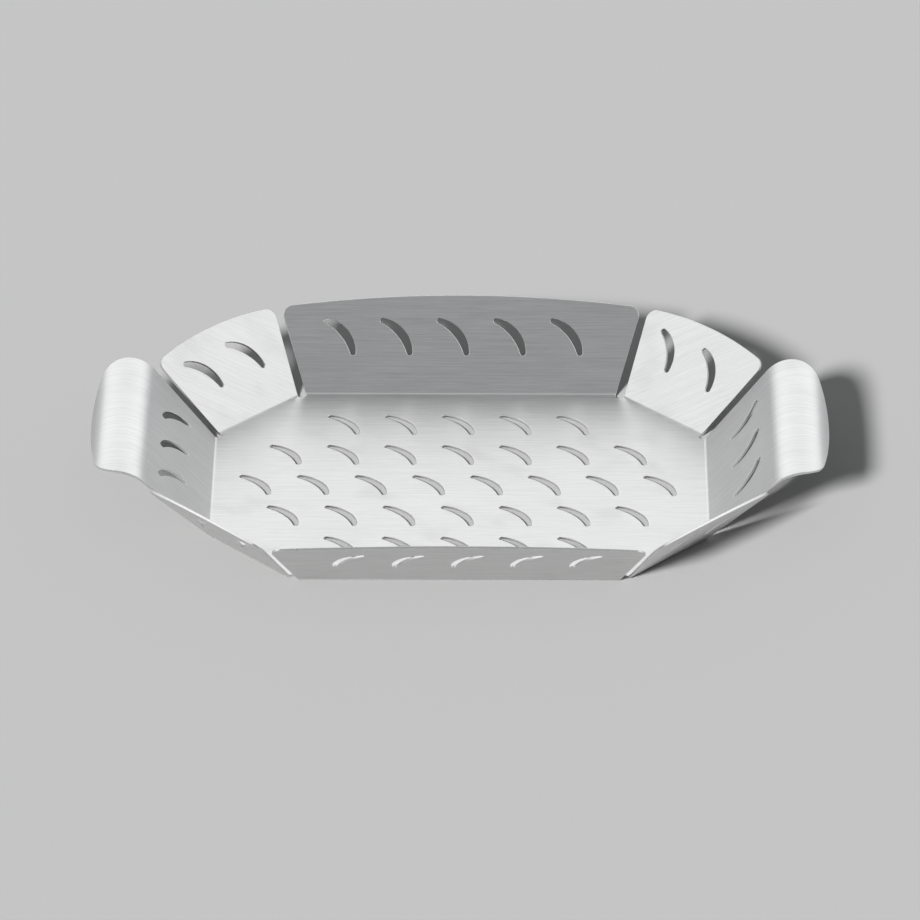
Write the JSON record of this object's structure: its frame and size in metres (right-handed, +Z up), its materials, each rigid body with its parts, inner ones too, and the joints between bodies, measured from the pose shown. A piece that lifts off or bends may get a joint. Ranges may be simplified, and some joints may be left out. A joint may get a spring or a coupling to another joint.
{
  "type": "grill basket",
  "caption": "Shallow stainless steel grill basket with a slotted eight-sided floor, slotted walls leaning outwards and a rolled handle at each end.",
  "frame": {"origin": "middle of the floor's underside, on the surface that the basket stands on", "axes": "+X runs from one handle to the other, +Y to the back wall, +Z up out of the open top"},
  "size_m": [0.2884, 0.201, 0.0325],
  "materials": {
    "stainless_steel": "satin, finely brushed stainless sheet with bright, rounded cut edges"
  },
  "bodies": {
    "root": {"floor": "stainless_steel", "back_wall": "stainless_steel", "front_wall": "stainless_steel", "left_end_wall": "stainless_steel", "right_end_wall": "stainless_steel", "back_left_corner_wall": "stainless_steel", "back_right_corner_wall": "stainless_steel", "front_left_corner_wall": "stainless_steel", "front_right_corner_wall": "stainless_steel", "left_handle": "stainless_steel", "right_handle": "stainless_steel"}
  },
  "joints": []
}
